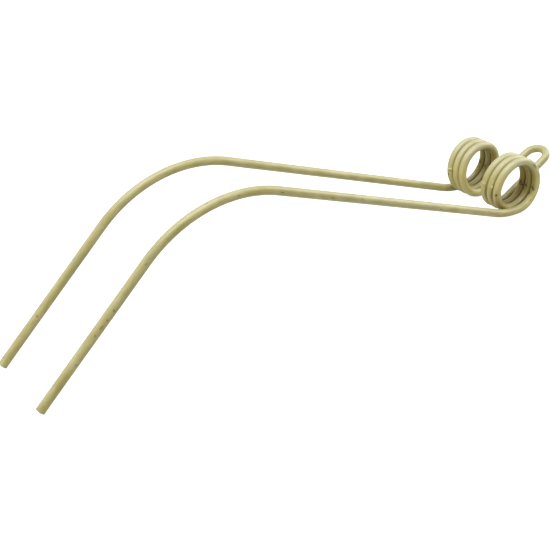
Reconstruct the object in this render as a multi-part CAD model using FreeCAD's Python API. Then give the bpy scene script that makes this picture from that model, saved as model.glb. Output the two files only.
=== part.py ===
"""Hay rake spring tine, bent from one length of round spring wire.

Two long arms run to the left, each ending in a close-wound coil. A narrow
loop joins the two coils on the right and is where the tine is clamped.
The tine stands as it comes to rest, on the undersides of its coils and on
the cut ends of its arms.

Frame, in millimetres: the origin is on the coil axis, midway between the
coils. Y runs along the coil axis, the arms reach towards -X, +Z is up.
The -Y half is the mirror image of the +Y half.
"""
import FreeCAD, Part
import math
import os

# Driving dimensions in millimetres and degrees

# The spring wire
WIRE_D = 9.0
END_EDGE_R = 0.7          # rounding of the sheared edge at the tip of each arm

# Each coil
COIL_INSIDE_D = 47.0
COIL_TURNS = 3            # whole turns, before the leg of the loop leaves
TURN_GAP = 0.4            # daylight between neighbouring turns

# The loop that joins the coils
LOOP_INSIDE_W = 17.5      # clear width at its rounded end
LOOP_REACH = 63.5         # from where the wire leaves a coil to the centre of the loop's round end
LOOP_RISE = 25.0          # how steeply the loop climbs away from the coils

# Each arm
RUN_IN_R = 95.0           # easy curve that takes the wire from the coil into the arm
ARM_RISE = 22.8           # how steeply the upper stretch climbs away from the coil
ARM_STRAIGHT = 308.0      # length of that stretch
BEND_R = 135.0            # wide bend, to the middle of the wire
BEND_TURN = 64.1          # angle through which it turns the arm down

# Worked out from the driving dimensions
WIRE_R = WIRE_D / 2
COIL_R = (COIL_INSIDE_D + WIRE_D) / 2
TURN_PITCH = WIRE_D + TURN_GAP
LOOP_R = (LOOP_INSIDE_W + WIRE_D) / 2
ARM_FALL = BEND_TURN - ARM_RISE
FLOOR_Z = -(COIL_R + WIRE_R)

V = FreeCAD.Vector
ALONG = V(0, 1, 0)


def slope_dir(angle, towards_x):
    """Unit vector in the XZ plane that climbs at an angle while it runs along +X or -X."""
    a = math.radians(angle)
    return V(towards_x * math.cos(a), 0, math.sin(a))


def section(at, heading):
    """The wire's round section, as a face square to its heading."""
    circle = Part.Circle(at, heading, WIRE_R)
    return Part.Face(Part.Wire(circle.toShape()))


def straight(start, heading, length):
    """A straight stretch of wire."""
    return Part.makeCylinder(WIRE_R, length, start, heading)


class Arc:
    """A stretch of wire bent to a circle, from a start point and heading about a centre."""

    def __init__(self, start, heading, centre, turn):
        self.start = start
        self.heading = heading
        self.centre = centre
        self.turn = turn
        self.axis = (start - centre).cross(heading).normalize()

    def at(self, turn):
        """Point of the centre line after a turn, in degrees."""
        spin = FreeCAD.Rotation(self.axis, turn)
        return self.centre + spin.multVec(self.start - self.centre)

    def heading_at(self, turn):
        return FreeCAD.Rotation(self.axis, turn).multVec(self.heading)

    def solid(self):
        return section(self.start, self.heading).revolve(self.centre, self.axis, self.turn)

    def length(self):
        return math.radians(self.turn) * (self.start - self.centre).Length


def half_turn(y, from_top):
    """Half a turn of the coil, in a plane that leans by half a pitch.

    It starts at the top or the bottom of the coil with the wire square to
    the coil's axis, and ends so too, so that half turns follow each other
    with no kink while the coil advances by one pitch a turn.
    """
    side = 1 if from_top else -1
    start = V(0, y, side * COIL_R)
    centre = V(0, y - TURN_PITCH / 4, 0)
    return Arc(start, V(-side, 0, 0), centre, 180)


def coil_arcs(y_outer):
    """The arcs of one coil, from the arm at its outer end to the leg at its inner end."""
    arcs = []
    y = y_outer
    for _ in range(COIL_TURNS):
        for from_top in (False, True):
            arcs.append(half_turn(y, from_top))
            y -= TURN_PITCH / 2
    last = half_turn(y, False)
    arcs.append(Arc(last.start, last.heading, last.centre, LOOP_RISE))
    return arcs


def leg_lean():
    """Angle at which a leg leaves its coil towards the middle plane, in radians."""
    probe = half_turn(0, False)
    return math.asin(-probe.heading_at(LOOP_RISE).y)


def leg_length():
    """Length of a leg, up to where it meets the round end of the loop."""
    lean = leg_lean()
    return (LOOP_REACH + LOOP_R * math.sin(lean)) / math.cos(lean)


def outer_y():
    """Distance from the middle plane to the arm, so that the legs meet the loop's round end."""
    lean = leg_lean()
    inner = LOOP_R * math.cos(lean) + leg_length() * math.sin(lean)
    last_advance = -half_turn(0, False).at(LOOP_RISE).y
    return inner + last_advance + COIL_TURNS * TURN_PITCH


def arm_tip(start, heading):
    """The last straight stretch of an arm, down to the floor, with its sheared end rounded."""
    fall = math.radians(ARM_FALL)
    edge_lift = END_EDGE_R * (math.cos(fall) + math.sin(fall) - 1)
    drop = start.z - FLOOR_Z - WIRE_R * math.cos(fall) + edge_lift
    length = drop / math.sin(fall)
    tip = straight(start, heading, length)
    end = start + heading * length
    edge = [e for e in tip.Edges if e.Closed and (e.CenterOfMass - end).Length < WIRE_R / 10]
    return tip.makeFillet(END_EDGE_R, edge), length


def half_tine():
    """Solids of the +Y half, from the tip of the arm to the end of the leg, and their wire length."""
    y = outer_y()
    up = slope_dir(ARM_RISE, -1)
    square_to_up = V(-up.z, 0, up.x)
    bottom = V(0, y, -COIL_R)

    run_in = Arc(bottom, V(-1, 0, 0), bottom + V(0, 0, RUN_IN_R), ARM_RISE)
    arm_start = run_in.at(ARM_RISE)
    arm_end = arm_start + up * ARM_STRAIGHT
    bend = Arc(arm_end, up, arm_end + square_to_up * BEND_R, BEND_TURN)
    tip, tip_length = arm_tip(bend.at(BEND_TURN), bend.heading_at(BEND_TURN))
    arcs = coil_arcs(y)
    leg_start = arcs[-1].at(LOOP_RISE)
    leg_heading = arcs[-1].heading_at(LOOP_RISE)

    solids = [tip, bend.solid(), straight(arm_start, up, ARM_STRAIGHT), run_in.solid()]
    solids += [arc.solid() for arc in arcs]
    solids.append(straight(leg_start, leg_heading, leg_length()))
    length = tip_length + ARM_STRAIGHT + leg_length() + bend.length() + run_in.length()
    length += sum(arc.length() for arc in arcs)
    return solids, length, leg_start + leg_heading * leg_length(), leg_heading


def loop_end(start, heading):
    """The round end of the loop, from the +Y leg round to the -Y leg."""
    turn = 180 - 2 * math.degrees(leg_lean())
    across = V(0, -1, 0)
    inwards = (across - heading * across.dot(heading)).normalize()
    return Arc(start, heading, start + inwards * LOOP_R, turn)


def tine():
    """The whole tine as one solid, and the length of wire in it."""
    solids, length, leg_end, heading = half_tine()
    mirrored = [s.mirror(V(0, 0, 0), ALONG) for s in solids]
    loop = loop_end(leg_end, heading)
    body = loop.solid().multiFuse(solids + mirrored)
    return body, 2 * length + loop.length()


os.makedirs("parts", exist_ok=True)
body, wire_length = tine()
body = body.Solids[0]
body.exportStep("parts/spring_tine.step")

expected = wire_length * math.pi * WIRE_R ** 2
print("solid valid:", body.isValid(), "faces:", len(body.Faces))
print("wire length mm:", round(wire_length, 1))
print("volume against wire length times section:", round(body.Volume / expected, 5))
box = body.optimalBoundingBox()
print("box mm:", [round(v, 2) for v in (box.XMin, box.YMin, box.ZMin, box.XMax, box.YMax, box.ZMax)])
print("arm centre lines apart mm:", round(2 * outer_y(), 2))
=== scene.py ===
"""Looks of the hay rake spring tine: one bent wire under cream to olive paint.

The wire is drawn through the same straight runs and bends as the solid, as
one mesh from tip to tip. Lengths are in millimetres until they meet a mesh,
which is in metres. The floor, the lamps and the camera are in metres.
"""
import math

import bmesh
import bpy
from mathutils import Matrix, Vector


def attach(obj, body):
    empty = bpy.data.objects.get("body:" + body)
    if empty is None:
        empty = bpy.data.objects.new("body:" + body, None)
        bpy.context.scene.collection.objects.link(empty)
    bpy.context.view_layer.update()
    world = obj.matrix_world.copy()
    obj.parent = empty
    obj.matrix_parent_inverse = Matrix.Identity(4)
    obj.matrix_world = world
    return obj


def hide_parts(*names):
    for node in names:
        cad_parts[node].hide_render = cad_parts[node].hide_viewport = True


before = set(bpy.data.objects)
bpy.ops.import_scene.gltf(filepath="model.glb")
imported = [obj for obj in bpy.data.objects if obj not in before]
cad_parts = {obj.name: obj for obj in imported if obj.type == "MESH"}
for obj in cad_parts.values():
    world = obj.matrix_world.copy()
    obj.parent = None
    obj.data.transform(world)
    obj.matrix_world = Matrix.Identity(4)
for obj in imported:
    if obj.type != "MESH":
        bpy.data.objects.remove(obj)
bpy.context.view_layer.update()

MM = 0.001

# The wire and its bends

WIRE_R = 4.5
END_EDGE_R = 0.7
COIL_R = 28.0
COIL_TURNS = 3
TURN_PITCH = 9.4
LOOP_R = 13.25
LOOP_REACH = 63.5
LOOP_RISE = math.radians(25.0)
RUN_IN_R = 95.0
ARM_RISE = math.radians(22.8)
ARM_STRAIGHT = 308.0
BEND_R = 135.0
BEND_TURN = math.radians(64.1)

ARM_FALL = BEND_TURN - ARM_RISE
FLOOR_Z = -(COIL_R + WIRE_R)

# How finely the wire is drawn

SIDES = 48                # round the wire
COIL_STEP = 1.2           # along the wire, in the coils and the loop
BEND_STEP = 3.0
RUN_STEP = 6.0
END_EDGE_STEPS = 3        # round the edge of a sheared end
SMOOTH_BELOW = math.radians(35)
SAME_POINT = 0.01         # points nearer than this become one
MARK_CUTS = 2             # how often a face is cut each way at a raised mark
MARK_MARGIN = 0.6         # how far that goes past the mark, across the wire

# The photograph's camera

CAMERA_TARGET = Vector((-0.2904, 0.0200, -0.0321))
CAMERA_DISTANCE = 1.0696
CAMERA_AZIMUTH = math.radians(-32.44)
CAMERA_ELEVATION = math.radians(30.46)
CAMERA_ROLL = math.radians(-3.98)
CAMERA_FOCAL_PIXELS = 1022.9
PHOTO_PIXELS = 550
SENSOR_MM = 36.0

# Floor and light

FLOOR_SIZE = 12
FLOOR_BELOW_WIRE = 0.0001
FLOOR_GREY = (0.5, 0.5, 0.5)
FLOOR_GREY_SEEN = (0.35, 0.35, 0.35)
FLOOR_IN_WIRE = 0.24      # how strongly the white floor is mirrored in the wire
SKY_IN_WIRE = 0.4
SKY_LIGHT = 0.13
BLACK = (0, 0, 0)
WHITE = (1, 1, 1)
SOFT_BOXES = (
    # where it stands from the point the camera looks at, width and height, watts
    ("soft_box_overhead", (-0.1, -0.3, 2.4), (2.2, 1.8), 54),
    ("soft_box_right", (2.0, -0.3, 0.9), (1.6, 1.2), 18),
    ("soft_box_low", (-2.2, -0.3, 0.25), (1.2, 0.5), 9),
    ("soft_box_left", (-1.45, 1.2, 1.5), (1.6, 1.2), 8),
    ("soft_box_rear", (0.15, 1.8, 1.5), (1.6, 1.2), 7),
)

# Paint

CREAM = (0.62, 0.558, 0.235)
OLIVE = (0.42, 0.367, 0.08)
GREENISH = (0.38, 0.375, 0.15)
GOLDEN = (0.44, 0.34, 0.06)
BROWN = (0.33, 0.225, 0.015)
# dark specks and smudges, and painted shade in the grooves and beside raised paint
DIRT_AND_SHADE = (0.12, 0.088, 0.02)
DARK = (0.03, 0.02, 0.006)
# painted highlight on the tops of the coils
COIL_TOP_HIGHLIGHT = (0.6, 0.55, 0.275)
COIL_GOLD = (0.72, 0.605, 0.175)
# painted highlight where the wire faces up
UP_FACING_HIGHLIGHT = (0.57, 0.545, 0.35)
# brown stain and painted shade inside the coils
INNER_STAIN_AND_SHADE = (0.32, 0.25, 0.008)
# painted shade where the turns meet
GROOVE_SHADE = (0.24, 0.235, 0.1)
# painted highlight on raised paint
RIDGE_HIGHLIGHT = (0.72, 0.67, 0.44)

# Where marks lie. Each has its distance along the wire from the +Y tip, its
# angle round the wire, half its length along the wire and half its width.
# An angle of 0 faces the inside of a coil and the top of an arm, 90 faces the
# middle plane, 180 the outside of a coil and 270 away from the middle plane.
# The +Y coil lies from 656 to 1198 and the -Y coil from 1367 to 1909.

CHIPS = (
    # +Y coil
    (694, 355, 1.2, 1.3),
    (868, 355, 1.3, 1.2),
    (791, 190, 1.5, 1.6),
    # -Y coil, turn by turn from the loop to the arm
    (1521, 355, 1.5, 1.1),
    (1524, 320, 1.0, 1.3),
    (1699, 0, 1.3, 1.3),
    (1704, 20, 1.0, 1.2),
    (1774, 210, 1.3, 0.8),
    (1775, 215, 1.0, 1.5),
    (1875, 0, 1.4, 1.2),
    (1877, 335, 1.2, 1.3),
    (1883, 25, 2.0, 1.3),
    (1902, 130, 1.2, 1.0),
)
SCRATCHES_AND_SHADOW = (
    # under the lip of the +Y coil, a painted shadow; and on the outermost turn of the -Y coil
    (787, 135, 0.5, 3.0),
    (1844, 260, 2.0, 0.8),
    # +Y arm
    (57, 50, 0.9, 1.2),
    (97, 10, 0.8, 0.5),
    (392, 10, 2.0, 0.5),
    (505, 120, 2.2, 0.5),
    (603, 170, 1.8, 0.6),
    # -Y arm
    (2038, 260, 2.2, 0.6),
    (2056, 345, 1.6, 0.5),
    (2191, 265, 2.4, 0.6),
    (2253, 270, 2.2, 0.6),
    (2301, 285, 2.0, 0.5),
    (2332, 350, 1.5, 0.4),
    (2407, 295, 1.5, 0.5),
    (2456, 285, 1.0, 0.8),
    (2466, 285, 1.0, 0.8),
    (2474, 295, 2.2, 0.5),
    (2483, 295, 1.1, 0.6),
    (2513, 280, 1.3, 0.5),
)
SMUDGES_AND_SHADE = (
    # round the chips
    (694, 350, 3.6, 3.0),
    (868, 350, 5.0, 3.2),
    (1521, 345, 4.5, 3.2),
    (1700, 5, 4.0, 3.0),
    (1844, 265, 4.0, 1.6),
    (1875, 350, 4.5, 2.6),
    (1883, 30, 4.5, 2.2),
    # painted shade beside the run and the nub of the -Y coil
    (1418, 230, 7.5, 0.9),
    (1595, 230, 6.5, 0.9),
)
STAINS = (
    # +Y coil
    (695, 335, 16.0, 4.5),
    (1071, 40, 24.0, 3.0),
    # -Y coil
    (1512, 285, 12.0, 4.0),
    (1528, 340, 20.0, 5.0),
    (1702, 5, 14.0, 4.0),
    (1758, 235, 12.0, 4.2),
)
# Raised paint, with its height as well
RAISED = (
    # rough patch on top of the +Y coil
    (729, 165, 2.4, 2.2, 0.3),
    (735, 150, 1.8, 2.6, 0.8),
    (742, 175, 2.8, 2.0, 0.5),
    (748, 190, 2.2, 2.6, 0.8),
    # lip across the wire, on the left of the +Y coil
    (785, 135, 1.0, 3.0, 0.6),
    (785, 180, 0.9, 3.0, 1.5),
    # two runs inside the +Y coil
    (843, 45, 4.6, 0.8, 0.45),
    (852, 30, 5.0, 0.7, 0.35),
    # run and lip on the left of the -Y coil
    (1421, 215, 6.0, 1.0, 0.35),
    (1428, 200, 1.1, 3.4, 0.7),
    # nub and run between its turns
    (1604, 230, 1.8, 1.6, 1.1),
    (1608, 225, 3.4, 0.7, 0.35),
)


class Stretch:
    """A straight or evenly bent stretch of the wire's centre line."""

    def __init__(self, start, heading, length, centre=None):
        self.start = start
        self.heading = heading
        self.length = length
        self.centre = centre
        if centre is not None:
            self.radius = (start - centre).length
            self.axis = (start - centre).cross(heading).normalized()

    def turned(self, distance):
        """How far a bend has turned the wire after a distance."""
        return Matrix.Rotation(distance / self.radius, 3, self.axis)

    def at(self, distance):
        if self.centre is None:
            return self.start + self.heading * distance
        return self.centre + self.turned(distance) @ (self.start - self.centre)

    def heading_at(self, distance):
        if self.centre is None:
            return self.heading.copy()
        return self.turned(distance) @ self.heading

    def reversed(self):
        """The same stretch, drawn from its other end."""
        end = self.at(self.length)
        return Stretch(end, -self.heading_at(self.length), self.length, self.centre)

    def mirrored(self):
        """The same stretch on the other side of the middle plane."""
        flip = Matrix.Diagonal((1, -1, 1))
        centre = None if self.centre is None else flip @ self.centre
        return Stretch(flip @ self.start, flip @ self.heading, self.length, centre)

    def draw(self, step, pose, before):
        """Draws this stretch of wire by carrying a circle along it.

        The pose turns the circle's own plane square to the wire, and before is
        the length of wire drawn so far.
        """
        count = max(1, round(self.length / step))
        bpy.ops.object.select_all(action="DESELECT")
        bpy.ops.mesh.primitive_circle_add(
            vertices=SIDES, radius=WIRE_R * MM, location=self.start * MM, rotation=pose.to_euler())
        bpy.ops.object.transform_apply(location=True, rotation=True, scale=True)
        bpy.ops.object.mode_set(mode="EDIT")
        bpy.ops.mesh.select_all(action="SELECT")
        if self.centre is None:
            offset = self.heading * (self.length / count * MM)
            bpy.ops.mesh.extrude_repeat(steps=count, offset=offset)
        else:
            # spin turns the left-handed way
            bpy.ops.mesh.spin(
                steps=count, angle=-self.length / self.radius,
                center=self.centre * MM, axis=self.axis)
        bpy.ops.object.mode_set(mode="OBJECT")
        piece = bpy.context.object
        store_places(piece, before, self.length / count)
        return piece


def half_turn(y, from_top):
    """Half a turn of the coil, in a plane that leans by half a pitch."""
    side = 1 if from_top else -1
    start = Vector((0, y, side * COIL_R))
    centre = Vector((0, y - TURN_PITCH / 4, 0))
    return Stretch(start, Vector((-side, 0, 0)), math.pi * (start - centre).length, centre)


def coil(y_outer):
    """The stretches of one coil, from the arm at its outer end to the leg at its inner end."""
    stretches = []
    y = y_outer
    for _ in range(COIL_TURNS):
        for from_top in (False, True):
            stretches.append(half_turn(y, from_top))
            y -= TURN_PITCH / 2
    last = half_turn(y, False)
    last.length = last.radius * LOOP_RISE
    stretches.append(last)
    return stretches


def half_wire():
    """The +Y half, from its tip to the end of its leg, and how far the leg leans.

    Each stretch comes with the step it is drawn in.
    """
    probe = half_turn(0, False)
    leg_lean = math.asin(-probe.heading_at(probe.radius * LOOP_RISE).y)
    leg_length = (LOOP_REACH + LOOP_R * math.sin(leg_lean)) / math.cos(leg_lean)
    inner_y = LOOP_R * math.cos(leg_lean) + leg_length * math.sin(leg_lean)
    y = inner_y - probe.at(probe.radius * LOOP_RISE).y + COIL_TURNS * TURN_PITCH

    bottom = Vector((0, y, -COIL_R))
    up = Vector((-math.cos(ARM_RISE), 0, math.sin(ARM_RISE)))
    square_to_up = Vector((-up.z, 0, up.x))
    run_in_centre = bottom + Vector((0, 0, RUN_IN_R))
    run_in = Stretch(bottom, Vector((-1, 0, 0)), RUN_IN_R * ARM_RISE, run_in_centre)
    rise = Stretch(run_in.at(run_in.length), up, ARM_STRAIGHT)
    arm_end = rise.at(rise.length)
    bend = Stretch(arm_end, up, BEND_R * BEND_TURN, arm_end + square_to_up * BEND_R)
    bend_end = bend.at(bend.length)
    edge_lift = END_EDGE_R * (math.cos(ARM_FALL) + math.sin(ARM_FALL) - 1)
    drop = bend_end.z - FLOOR_Z - WIRE_R * math.cos(ARM_FALL) + edge_lift
    fall = Stretch(bend_end, bend.heading_at(bend.length), drop / math.sin(ARM_FALL))

    arm = [(fall, RUN_STEP), (bend, BEND_STEP), (rise, RUN_STEP), (run_in, BEND_STEP)]
    turns = coil(y)
    leg_start = turns[-1].at(turns[-1].length)
    leg = Stretch(leg_start, turns[-1].heading_at(turns[-1].length), leg_length)
    stretches = [(s.reversed(), step) for s, step in arm]
    stretches += [(s, COIL_STEP) for s in turns + [leg]]
    return stretches, leg_lean


HALF_WIRE, LEG_LEAN = half_wire()
COIL_START = sum(stretch.length for stretch, _ in HALF_WIRE[:4])
COIL_END = sum(stretch.length for stretch, _ in HALF_WIRE[:-1])
TURN_LENGTH = 2 * math.pi * math.hypot(COIL_R, TURN_PITCH / 4)
TWIST_A_TURN = 4 * math.atan(TURN_PITCH / 4 / COIL_R)
HALF_LENGTH = COIL_END + HALF_WIRE[-1][0].length + LOOP_R * (math.pi / 2 - LEG_LEAN)


def whole_wire():
    """Every stretch of the wire in order, from the +Y tip to the -Y tip."""
    leg = HALF_WIRE[-1][0]
    leg_end = leg.at(leg.length)
    across = Vector((0, -1, 0))
    inwards = (across - leg.heading * across.dot(leg.heading)).normalized()
    length = LOOP_R * (math.pi - 2 * LEG_LEAN)
    round_end = Stretch(leg_end, leg.heading, length, leg_end + inwards * LOOP_R)
    back = [(s.mirrored().reversed(), step) for s, step in reversed(HALF_WIRE)]
    return HALF_WIRE + [(round_end, COIL_STEP)] + back


def twist(along):
    """How far the drawn circle has turned about the wire, which a coil's advance brings about."""
    from_tip = HALF_LENGTH - abs(along - HALF_LENGTH)
    in_coil = min(max(from_tip, COIL_START), COIL_END) - COIL_START
    return TWIST_A_TURN / TURN_LENGTH * in_coil


def store_places(piece, before, ring_gap):
    """Gives each point its place on the wire as it was before bending: along it, and across it."""
    places = piece.data.attributes.new("unbent", "FLOAT_VECTOR", "POINT")
    for index, place in enumerate(places.data):
        ring, side = divmod(index, SIDES)
        along = before + ring * ring_gap
        angle = 2 * math.pi * side / SIDES - twist(along)
        place.vector = (along, WIRE_R * math.cos(angle), WIRE_R * math.sin(angle))


def stored_places(mesh):
    return [place.vector.copy() for place in mesh.attributes["unbent"].data]


def spot_centre(along, angle):
    """The place on the unbent wire of a distance along it and an angle round it in degrees."""
    a = math.radians(angle)
    return Vector((along, WIRE_R * math.cos(a), WIRE_R * math.sin(a)))


def draw_wire():
    """The wire's mesh, joined from its stretches, with its ends closed and its paint raised."""
    stretches = whole_wire()
    pose = stretches[0][0].heading.to_track_quat("Z", "Y").to_matrix()
    before = 0.0
    pieces = []
    for stretch, step in stretches:
        pieces.append(stretch.draw(step, pose, before))
        before += stretch.length
        if stretch.centre is not None:
            pose = stretch.turned(stretch.length) @ pose
    for piece in pieces:
        piece.select_set(True)
    bpy.context.view_layer.objects.active = pieces[0]
    bpy.ops.object.join()
    wire = bpy.context.object
    wire.name = "bent_wire"
    wire.data.name = "bent_wire"
    bpy.ops.object.mode_set(mode="EDIT")
    bpy.ops.mesh.select_all(action="SELECT")
    bpy.ops.mesh.remove_doubles(threshold=SAME_POINT * MM)
    close_ends(wire)
    bpy.ops.object.mode_set(mode="OBJECT")
    bpy.ops.object.shade_smooth_by_angle(angle=SMOOTH_BELOW)
    raise_paint(wire.data)
    return wire


def close_ends(wire):
    """Closes both ends with a flat sheared face whose edge is slightly rounded."""
    for side in (1, -1):
        bpy.ops.mesh.select_all(action="DESELECT")
        edit = bmesh.from_edit_mesh(wire.data)
        for edge in edit.edges:
            if edge.is_boundary and edge.verts[0].co.y * side > 0:
                edge.select = True
        bmesh.update_edit_mesh(wire.data)
        bpy.ops.mesh.edge_face_add()
        bpy.ops.mesh.bevel(offset=END_EDGE_R * MM, segments=END_EDGE_STEPS, affect="EDGES")
    bpy.ops.mesh.select_all(action="SELECT")
    bpy.ops.mesh.normals_make_consistent(inside=False)


def raise_paint(mesh):
    """Lifts the raised marks off the wire, with a soft round top to each."""
    for along, angle, half_length, half_width, _ in RAISED:
        across = half_width + MARK_MARGIN
        reach = Vector((half_length + COIL_STEP, across, across))
        draw_finer(mesh, spot_centre(along, angle), reach)
    normals = [vertex.normal.copy() for vertex in mesh.vertices]
    places = stored_places(mesh)
    for along, angle, half_length, half_width, height in RAISED:
        centre = spot_centre(along, angle)
        for vertex in mesh.vertices:
            off = places[vertex.index] - centre
            if abs(off.x) > half_length:
                continue
            reach = Vector((off.x / half_length, off.y / half_width, off.z / half_width)).length
            if reach < 1:
                vertex.co += normals[vertex.index] * (height * (1 - reach ** 2) ** 2 * MM)


def draw_finer(mesh, centre, reach):
    """Cuts up the faces within reach of a place on the unbent wire."""
    places = stored_places(mesh)
    bpy.ops.object.mode_set(mode="EDIT")
    bpy.ops.mesh.select_all(action="DESELECT")
    edit = bmesh.from_edit_mesh(mesh)
    for vertex in edit.verts:
        off = places[vertex.index] - centre
        vertex.select = all(abs(off[k]) < reach[k] for k in range(3))
    edit.select_flush(True)
    bmesh.update_edit_mesh(mesh)
    bpy.ops.mesh.subdivide(number_cuts=MARK_CUTS, ngon=False, quadcorner="FAN")
    bpy.ops.object.mode_set(mode="OBJECT")


class Value:
    """A number that varies over a surface. Sums written on it become Math nodes."""

    def __init__(self, look, socket):
        self.look = look
        self.socket = socket

    def maths(self, operation, *inputs):
        return self.look.value("Math", {"operation": operation}, dict(enumerate(inputs)))

    def __add__(self, other):
        return self.maths("ADD", self, other)

    def __sub__(self, other):
        return self.maths("SUBTRACT", self, other)

    def __rsub__(self, other):
        return self.maths("SUBTRACT", other, self)

    def __mul__(self, other):
        return self.maths("MULTIPLY", self, other)

    __radd__ = __add__
    __rmul__ = __mul__

    def size(self):
        return self.maths("ABSOLUTE", self)

    def at_least(self, other):
        return self.maths("MAXIMUM", self, other)

    def step(self, low, high):
        """0 below low and 1 above high, with a smooth rise between them."""
        inputs = {"Value": self, "From Min": low, "From Max": high}
        return self.look.value("MapRange", {"interpolation_type": "SMOOTHSTEP"}, inputs)


class Nodes:
    """The nodes of a material or of the world."""

    def __init__(self, tree):
        self.tree = tree

    def fill(self, socket, given):
        """Links a socket to a value or to another socket, or sets its own constant."""
        if isinstance(given, Value):
            given = given.socket
        if isinstance(given, bpy.types.NodeSocket):
            self.tree.links.new(given, socket)
        else:
            socket.default_value = given

    def node(self, kind, settings=None, inputs=None):
        """Adds a node of a kind, makes its settings, then fills its sockets."""
        node = self.tree.nodes.new("ShaderNode" + kind)
        for name, setting in (settings or {}).items():
            setattr(node, name, setting)
        for name, given in (inputs or {}).items():
            self.fill(node.inputs[name], given)
        return node

    def value(self, kind, settings=None, inputs=None, output=0):
        """A number that a node of a kind gives."""
        return Value(self, self.node(kind, settings, inputs).outputs[output])

    def blend(self, amount, low, high):
        """A colour between two others."""
        node = self.node("Mix", {"data_type": "RGBA"}, {"Factor": amount})
        for name, colour in (("A", low), ("B", high)):
            if isinstance(colour, tuple):
                colour = (*colour, 1.0)
            self.fill(next(s for s in node.inputs if s.name == name and s.type == "RGBA"), colour)
        return next(s for s in node.outputs if s.type == "RGBA")

    def seen(self, mirrored):
        """1 to the camera and a share of it to what mirrors, 0 to all other light."""
        in_mirror = self.value("LightPath", output="Is Glossy Ray") * mirrored
        return self.value("LightPath", output="Is Camera Ray").at_least(in_mirror)


class Look(Nodes):
    """A material, whose surface is varied by its nodes."""

    def __init__(self, name):
        self.material = bpy.data.materials.new(name)
        self.material.use_nodes = True
        super().__init__(self.material.node_tree)
        self.surface = self.tree.nodes["Principled BSDF"]

    def feed(self, **inputs):
        """Feeds the surface's own sockets, by their names with _ for a space."""
        for name, given in inputs.items():
            self.fill(self.surface.inputs[name.replace("_", " ")], given)


class Paint(Look):
    """The paint, and masks that say where each thing lies on the unbent wire."""

    def __init__(self, name):
        super().__init__(name)
        self.place = self.node("Attribute", {"attribute_name": "unbent"}).outputs["Vector"]
        parts = self.node("SeparateXYZ", {}, {"Vector": self.place})
        along = Value(self, parts.outputs["X"])
        # distance along the wire from the nearer tip
        self.from_tip = HALF_LENGTH - (along - HALF_LENGTH).size()
        self.inwards = Value(self, parts.outputs["Y"]) * (1 / WIRE_R)
        self.to_middle = Value(self, parts.outputs["Z"]) * (1 / WIRE_R)
        bent = self.node("TexCoord").outputs["Object"]
        self.height = self.value("SeparateXYZ", {}, {"Vector": bent}, output="Z") * (1 / MM)
        faces = self.node("NewGeometry").outputs["Normal"]
        self.upwards = self.value("SeparateXYZ", {}, {"Vector": faces}, output="Z")

    def noise(self, scale, detail=2.0, stretch=1.0, shift=0.0):
        """Noise on the unbent wire, drawn out along it by the stretch."""
        moved = self.node("Mapping", {}, {
            "Vector": self.place, "Location": (shift, shift, shift),
            "Scale": (1 / stretch, 1, 1)}).outputs["Vector"]
        return self.value("TexNoise", {}, {"Vector": moved, "Scale": scale, "Detail": detail})

    def spots(self, marks, ragged, soft):
        """1 inside any of these marks, with ragged edges that are more or less soft."""
        mask = None
        for along, angle, half_length, half_width in marks:
            spread = self.node("Mapping", {"vector_type": "TEXTURE"}, {
                "Vector": self.place, "Location": spot_centre(along, angle),
                "Scale": (half_length, half_width, half_width)}).outputs["Vector"]
            reach = self.value("VectorMath", {"operation": "LENGTH"}, {0: spread}, output="Value")
            inside = 1 - (reach + ragged).step(1 - soft, 1 + soft)
            mask = inside if mask is None else mask.at_least(inside)
        return mask

    def past(self, place, before, after):
        """1 past a place along the wire, rising from so far before it to so far after it."""
        return self.from_tip.step(place - before, place + after)

    def in_coil(self):
        """1 in a coil."""
        return self.past(COIL_START, 10, 20) * (1 - self.past(COIL_END, 10, 10))

    def grooves(self):
        """1 where a turn of a coil all but touches the next turn."""
        inner = self.past(COIL_START, 12, 8) * (1 - self.past(COIL_END - TURN_LENGTH, 4, 8))
        outer = self.past(COIL_START + TURN_LENGTH, 12, 8) * (1 - self.past(COIL_END, 4, 10))
        inner_side = self.to_middle.step(0.6, 0.97)
        outer_side = (self.to_middle * -1).step(0.6, 0.97)
        return inner_side * inner + outer_side * outer


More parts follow.
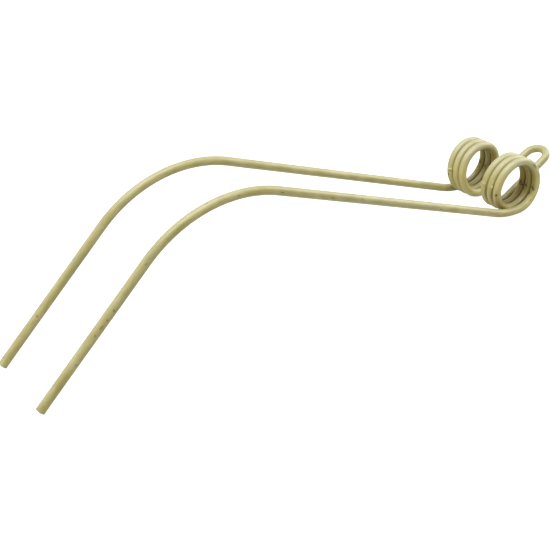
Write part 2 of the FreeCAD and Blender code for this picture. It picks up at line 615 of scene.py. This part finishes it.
def painted_wire():
    """Cream to olive paint with a soft gloss, over the whole wire."""
    look = Paint("painted_wire")
    clouds = look.noise(0.15, 4.0, stretch=2.6)
    drawn = look.noise(0.4, 3.0, stretch=7.0, shift=40.0)
    patches = look.noise(0.05, 2.0, stretch=2.2, shift=15.0)
    grain = look.noise(1.1, 2.0)
    ragged = (look.noise(0.8, 2.0, shift=7.0) - 0.5) * 1.1
    peel = look.noise(0.55, 2.0, shift=3.0)
    ripple = look.noise(0.16, 1.0, stretch=1.5, shift=60.0)
    speck = look.noise(0.3, 1.0, stretch=1.6, shift=90.0).step(0.73, 0.79)

    in_coil = look.in_coil()
    upper = in_coil * look.height.step(0.0, 28.0)
    streak = (drawn * 0.6 + patches * 0.4).step(0.5, 0.62)
    inside = look.inwards.step(0.5, 1.0) * in_coil * look.height.step(-24.0, -10.0)
    groove = look.grooves()
    stain = look.spots(STAINS, ragged * 0.8, 0.6)
    smudge_and_shade = look.spots(SMUDGES_AND_SHADE, ragged, 0.7)
    ridge = look.spots([mark[:4] for mark in RAISED], ragged * 0.4, 0.35)
    chip = look.spots(CHIPS, ragged, 0.5)
    scratch_and_shadow = look.spots(SCRATCHES_AND_SHADOW, ragged, 0.55)
    bare_and_shadow = chip.at_least(scratch_and_shadow * 0.6)

    colour = look.blend((clouds * 0.6 + drawn * 0.4).step(0.26, 0.72), OLIVE, CREAM)
    for amount, tint in (
            (patches.step(0.53, 0.68) * 0.3, GREENISH),
            ((1 - patches).step(0.52, 0.68) * 0.3, GOLDEN),
            # warmer coils; their tops cream, a painted highlight, and streaked
            (in_coil * 0.5, COIL_GOLD),
            (upper * (1.0 - drawn * 0.4), COIL_TOP_HIGHLIGHT),
            (upper * streak * 0.4, GREENISH),
            # painted highlight: paler wherever the wire faces up
            (look.upwards.step(0.3, 1.0) * (clouds * 0.4 + 0.25), UP_FACING_HIGHLIGHT),
            # browner inside the coils, partly a brown stain and partly painted shade
            (inside * (clouds * 0.5 + 0.45), INNER_STAIN_AND_SHADE),
            # painted shade where the turns meet, darkest towards the inside
            (groove * (drawn * 0.5 + 0.2), GROOVE_SHADE),
            (groove * look.inwards.step(-0.3, 0.4) * 0.6, DIRT_AND_SHADE),
            # stains, specks and smudges; the smudges beside the run and the nub of the -Y coil are
            # painted shade
            (stain * 0.75, BROWN),
            (grain.step(0.62, 0.78) * 0.16, BROWN),
            (speck * 0.45, DIRT_AND_SHADE),
            (smudge_and_shade * 0.5, DIRT_AND_SHADE),
            # raised paint, painted paler as a painted highlight
            (ridge * 0.4, RIDGE_HIGHLIGHT),
            # where paint is gone, and a painted shadow under the lip of the +Y coil
            (bare_and_shadow * 0.85, DARK)):
        colour = look.blend(amount, colour, tint)

    relief = peel * 0.35 + ripple * 1.2 + drawn * 0.15 - bare_and_shadow * 0.7 - groove * 0.2
    bump = look.node("Bump", {}, {"Strength": 0.35, "Distance": 0.25 * MM, "Height": relief})
    roughness = clouds * 0.12 + grain * 0.08 + 0.34 + bare_and_shadow * 0.1 + stain * 0.05
    look.feed(
        Base_Color=colour, Specular_IOR_Level=0.5, Roughness=roughness,
        Coat_Weight=1 - bare_and_shadow, Coat_Roughness=0.45, Normal=bump.outputs["Normal"])
    return look.material


def add_floor():
    """A plain pale floor under the tine, white to the camera."""
    bpy.ops.object.select_all(action="DESELECT")
    bpy.ops.mesh.primitive_plane_add(
        size=FLOOR_SIZE, location=(0, 0, FLOOR_Z * MM - FLOOR_BELOW_WIRE))
    bpy.ops.object.transform_apply(location=True, rotation=True, scale=True)
    floor = bpy.context.object
    floor.name = "floor"
    look = Look("pale_floor")
    seen = look.seen(FLOOR_IN_WIRE)
    look.feed(
        Base_Color=look.blend(seen, FLOOR_GREY, FLOOR_GREY_SEEN),
        Roughness=0.9, Specular_IOR_Level=0.0,
        Emission_Color=look.blend(seen, BLACK, WHITE), Emission_Strength=1.0)
    floor.data.materials.append(look.material)


def add_lamp(name, place, size, power):
    """A soft box that looks at the middle of the tine."""
    lamp = bpy.data.lights.new(name, "AREA")
    lamp.shape = "RECTANGLE"
    lamp.size, lamp.size_y = size
    lamp.energy = power
    stand = bpy.data.objects.new(name, lamp)
    stand.location = place
    stand.rotation_euler = (CAMERA_TARGET - place).to_track_quat("-Z", "Y").to_euler()
    bpy.context.collection.objects.link(stand)


def add_light():
    """A background that is white to the camera, and the soft boxes."""
    world = bpy.data.worlds.new("studio")
    bpy.context.scene.world = world
    world.use_nodes = True
    sky = Nodes(world.node_tree)
    background = sky.tree.nodes["Background"]
    sky.fill(background.inputs["Color"], (*WHITE, 1))
    sky.fill(background.inputs["Strength"], sky.seen(SKY_IN_WIRE).at_least(SKY_LIGHT))
    for name, offset, size, power in SOFT_BOXES:
        add_lamp(name, CAMERA_TARGET + Vector(offset), size, power)


def add_camera():
    """The camera where the photograph was taken from."""
    camera = bpy.data.cameras.new("camera")
    camera.sensor_width = SENSOR_MM
    camera.lens = CAMERA_FOCAL_PIXELS / PHOTO_PIXELS * SENSOR_MM
    turn = (
        Matrix.Rotation(CAMERA_AZIMUTH, 4, "Z")
        @ Matrix.Rotation(math.pi / 2 - CAMERA_ELEVATION, 4, "X")
        @ Matrix.Rotation(CAMERA_ROLL, 4, "Z"))
    back = turn.to_3x3() @ Vector((0, 0, 1))
    stand = bpy.data.objects.new("camera", camera)
    stand.matrix_world = Matrix.Translation(CAMERA_TARGET + back * CAMERA_DISTANCE) @ turn
    bpy.context.collection.objects.link(stand)
    bpy.context.scene.camera = stand


wire = draw_wire()
wire.data.materials.append(painted_wire())
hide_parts("spring_tine")
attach(wire, "root")

add_floor()
add_light()
add_camera()
bpy.context.scene.view_settings.view_transform = "Standard"
